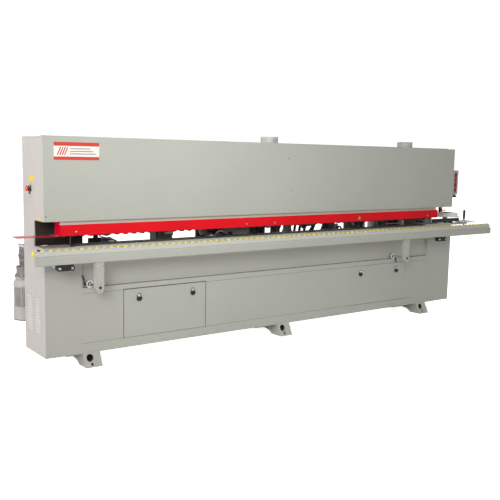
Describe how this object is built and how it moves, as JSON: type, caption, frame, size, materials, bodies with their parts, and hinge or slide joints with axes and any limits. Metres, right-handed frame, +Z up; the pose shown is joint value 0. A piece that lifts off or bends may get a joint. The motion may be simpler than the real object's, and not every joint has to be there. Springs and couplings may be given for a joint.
{
  "type": "edge banding machine",
  "caption": "Automatic straight edge banding machine with feed chain, lifting hood, pressure beam, pull-out roller support, tape magazine and working units.",
  "frame": {"origin": "on the floor at the bottom centre of the machine's bounding box", "axes": "+X along the feed from the outfeed end to the infeed end, +Y from the operator's side to the back, +Z up"},
  "size_m": [5.107, 0.815, 1.72],
  "materials": {
    "painted_grey": "satin powder coat, light warm grey",
    "red_paint": "satin signal red enamel",
    "black_rubber": "dull black rubber pads on a steel chain",
    "black_plastic": "moulded black plastic, slightly textured",
    "yellow_plastic": "moulded yellow nylon",
    "white_plastic": "moulded white plastic",
    "red_plastic": "moulded red plastic",
    "red_acrylic": "translucent red acrylic sheet",
    "chrome": "bright chrome plating",
    "steel": "ground and turned tool steel",
    "dark_steel": "dark grey machine enamel",
    "cast_aluminium": "sand cast aluminium, fine grit",
    "motor_grey": "light grey machine enamel, slightly orange-peeled",
    "cotton": "stitched cotton buffing discs",
    "edge_tape": "coiled edge tape"
  },
  "bodies": {
    "root": {"base_cabinet": "painted_grey", "foot_left": "painted_grey", "foot_middle": "painted_grey", "foot_right": "painted_grey", "hood_end_left": "painted_grey", "hood_end_right": "painted_grey", "hood_roof": "painted_grey", "feed_chain": "black_rubber", "gearbox": "cast_aluminium", "drive_motor": "motor_grey", "clamp_collar_left": "chrome", "clamp_collar_right": "chrome", "emergency_base": "yellow_plastic", "tape_table": "painted_grey", "buffing_unit": "black_plastic", "scraper_unit": "dark_steel", "trim_unit": "cast_aluminium", "saw_rails": "steel", "glue_unit": "dark_steel"},
    "small_door": {"front_door_left": "painted_grey"},
    "large_door": {"front_door_right": "painted_grey"},
    "latch_a": {"latch_1": "black_plastic"},
    "latch_b": {"latch_2": "black_plastic"},
    "latch_c": {"latch_3": "black_plastic"},
    "latch_d": {"latch_4": "black_plastic"},
    "hood_lid": {"hood_door": "painted_grey"},
    "cabinet_door": {"rear_door": "painted_grey"},
    "drive_wheel": {"drive_sprocket": "dark_steel"},
    "idler_wheel": {"idler_sprocket": "dark_steel"},
    "fan": {"motor_fan": "black_plastic"},
    "pressure_carriage": {"pressure_beam": "painted_grey", "pressure_cover": "red_paint", "pressure_wheels": "black_rubber", "infeed_switch": "black_plastic"},
    "guard_flap": {"outfeed_guard": "red_acrylic"},
    "switch_arm": {"switch_lever": "red_plastic"},
    "roller_support": {"roller_beam": "painted_grey", "support_rollers": "yellow_plastic", "support_bracket_left": "painted_grey", "support_bracket_right": "painted_grey", "guide_block_left": "black_plastic", "guide_block_right": "black_plastic"},
    "lever_left": {"clamp_lever_left": "black_plastic"},
    "lever_right": {"clamp_lever_right": "black_plastic"},
    "control_panel": {"control_box": "painted_grey"},
    "start": {"start_button": "white_plastic"},
    "stop": {"stop_button": "red_plastic"},
    "knob": {"panel_knob": "black_plastic"},
    "emergency_stop": {"emergency_button": "red_plastic"},
    "fence": {"infeed_fence": "black_plastic"},
    "handwheel": {"fence_handwheel": "steel"},
    "reel": {"tape_reel": "edge_tape"},
    "buff_upper": {"buffing_wheel_upper": "cotton"},
    "buff_lower": {"buffing_wheel_lower": "cotton"},
    "trim_upper": {"cutter_upper": "steel"},
    "trim_lower": {"cutter_lower": "steel"},
    "end_saw": {"saw_carriage": "cast_aluminium"},
    "blade": {"saw_blade": "steel"},
    "glue_roll": {"glue_roller": "steel"},
    "press_roll": {"pressure_roller": "steel"}
  },
  "joints": [
    {"name": "small_door_hinge", "type": "hinge", "parent": "root", "child": "small_door", "pos_m": [-1.391, -0.2165, 0.17], "axis": [1, 0, 0], "range_deg": [0, 90]},
    {"name": "large_door_hinge", "type": "hinge", "parent": "root", "child": "large_door", "pos_m": [0.9565, -0.2165, 0.17], "axis": [1, 0, 0], "range_deg": [0, 90]},
    {"name": "latch_a_turn", "type": "hinge", "parent": "small_door", "child": "latch_a", "pos_m": [-1.6275, -0.2175, 0.475], "axis": [0, 1, 0], "range_deg": [0, 90]},
    {"name": "latch_b_turn", "type": "hinge", "parent": "small_door", "child": "latch_b", "pos_m": [-1.1505, -0.2175, 0.475], "axis": [0, 1, 0], "range_deg": [0, 90]},
    {"name": "latch_c_turn", "type": "hinge", "parent": "large_door", "child": "latch_c", "pos_m": [0.7125, -0.2175, 0.475], "axis": [0, 1, 0], "range_deg": [0, 90]},
    {"name": "latch_d_turn", "type": "hinge", "parent": "large_door", "child": "latch_d", "pos_m": [1.2005, -0.2175, 0.475], "axis": [0, 1, 0], "range_deg": [0, 90]},
    {"name": "hood_hinge", "type": "hinge", "parent": "root", "child": "hood_lid", "pos_m": [-0.1785, -0.1365, 1.662], "axis": [-1, 0, 0], "range_deg": [0, 75]},
    {"name": "cabinet_door_hinge", "type": "hinge", "parent": "root", "child": "cabinet_door", "pos_m": [-0.8655, 0.2015, 0.45], "axis": [0, 0, 1], "range_deg": [0, 110]},
    {"name": "drive_spin", "type": "hinge", "parent": "root", "child": "drive_wheel", "pos_m": [-2.0735, -0.1495, 0.765], "axis": [0, 1, 0], "continuous": true},
    {"name": "idler_spin", "type": "hinge", "parent": "root", "child": "idler_wheel", "pos_m": [1.8565, -0.1495, 0.765], "axis": [0, 1, 0], "continuous": true},
    {"name": "fan_spin", "type": "hinge", "parent": "root", "child": "fan", "pos_m": [-2.3065, 0.3075, 0.34], "axis": [0, 0, 1], "continuous": true},
    {"name": "pressure_lift", "type": "slide", "parent": "root", "child": "pressure_carriage", "axis": [0, 0, 1], "range_m": [-0.045, 0.015]},
    {"name": "guard_hinge", "type": "hinge", "parent": "pressure_carriage", "child": "guard_flap", "pos_m": [-2.2475, -0.1615, 0.968], "axis": [0, 1, 0], "range_deg": [0, 30]},
    {"name": "switch_turn", "type": "hinge", "parent": "pressure_carriage", "child": "switch_arm", "pos_m": [1.8985, -0.1695, 1.04], "axis": [0, 1, 0], "range_deg": [-20, 20]},
    {"name": "support_slide", "type": "slide", "parent": "root", "child": "roller_support", "axis": [0, -1, 0], "range_m": [0, 0.3]},
    {"name": "lever_left_turn", "type": "hinge", "parent": "root", "child": "lever_left", "pos_m": [-2.0695, -0.2205, 0.612], "axis": [1, 0, 0], "range_deg": [0, 90]},
    {"name": "lever_right_turn", "type": "hinge", "parent": "root", "child": "lever_right", "pos_m": [1.1725, -0.2205, 0.612], "axis": [-1, 0, 0], "range_deg": [0, 90]},
    {"name": "panel_swing", "type": "hinge", "parent": "root", "child": "control_panel", "pos_m": [2.0475, -0.2005, 1.3], "axis": [0, 0, -1], "range_deg": [0, 90]},
    {"name": "start_press", "type": "slide", "parent": "control_panel", "child": "start", "axis": [-1, 0, 0], "range_m": [0, 0.004]},
    {"name": "stop_press", "type": "slide", "parent": "control_panel", "child": "stop", "axis": [-1, 0, 0], "range_m": [0, 0.004]},
    {"name": "knob_turn", "type": "hinge", "parent": "root", "child": "knob", "pos_m": [2.0475, -0.2005, 1.18], "axis": [0, 0, 1], "range_deg": [-180, 180]},
    {"name": "emergency_press", "type": "slide", "parent": "root", "child": "emergency_stop", "axis": [1, 0, 0], "range_m": [0, 0.006]},
    {"name": "handwheel_turn", "type": "hinge", "parent": "root", "child": "handwheel", "pos_m": [2.4365, -0.0405, 0.89], "axis": [0, 0, 1], "range_deg": [0, 720]},
    {"name": "fence_shift", "type": "slide", "parent": "root", "child": "fence", "axis": [0, 1, 0], "range_m": [0, 0.006]},
    {"name": "reel_spin", "type": "hinge", "parent": "root", "child": "reel", "pos_m": [2.2365, 0.0575, 0.96], "axis": [0, 0, 1], "continuous": true},
    {"name": "buff_upper_spin", "type": "hinge", "parent": "root", "child": "buff_upper", "pos_m": [-1.8315, -0.0685, 0.985], "axis": [0, 1, 0], "continuous": true},
    {"name": "buff_lower_spin", "type": "hinge", "parent": "root", "child": "buff_lower", "pos_m": [-1.7785, -0.0685, 0.862], "axis": [0, 1, 0], "continuous": true},
    {"name": "trim_upper_spin", "type": "hinge", "parent": "root", "child": "trim_upper", "pos_m": [-0.2635, -0.0695, 0.985], "axis": [0, 1, 0], "continuous": true},
    {"name": "trim_lower_spin", "type": "hinge", "parent": "root", "child": "trim_lower", "pos_m": [-0.8115, -0.0695, 0.862], "axis": [0, 1, 0], "continuous": true},
    {"name": "saw_travel", "type": "slide", "parent": "root", "child": "end_saw", "axis": [1, 0, 0], "range_m": [0, 0.2]},
    {"name": "blade_spin", "type": "hinge", "parent": "end_saw", "child": "blade", "pos_m": [0.1445, -0.0305, 0.965], "axis": [1, 0, 0], "continuous": true},
    {"name": "glue_roll_spin", "type": "hinge", "parent": "root", "child": "glue_roll", "pos_m": [1.4615, -0.0275, 0.9], "axis": [0, 0, 1], "continuous": true},
    {"name": "press_roll_spin", "type": "hinge", "parent": "root", "child": "press_roll", "pos_m": [1.1365, -0.0525, 0.9], "axis": [0, 0, 1], "continuous": true}
  ],
  "couplings": [
    {"joint": "idler_spin", "follows": "drive_spin", "ratio": 1},
    {"joint": "fan_spin", "follows": "drive_spin", "ratio": 20},
    {"joint": "fence_shift", "follows": "handwheel_turn", "m_per_rad": 0.00047746}
  ]
}
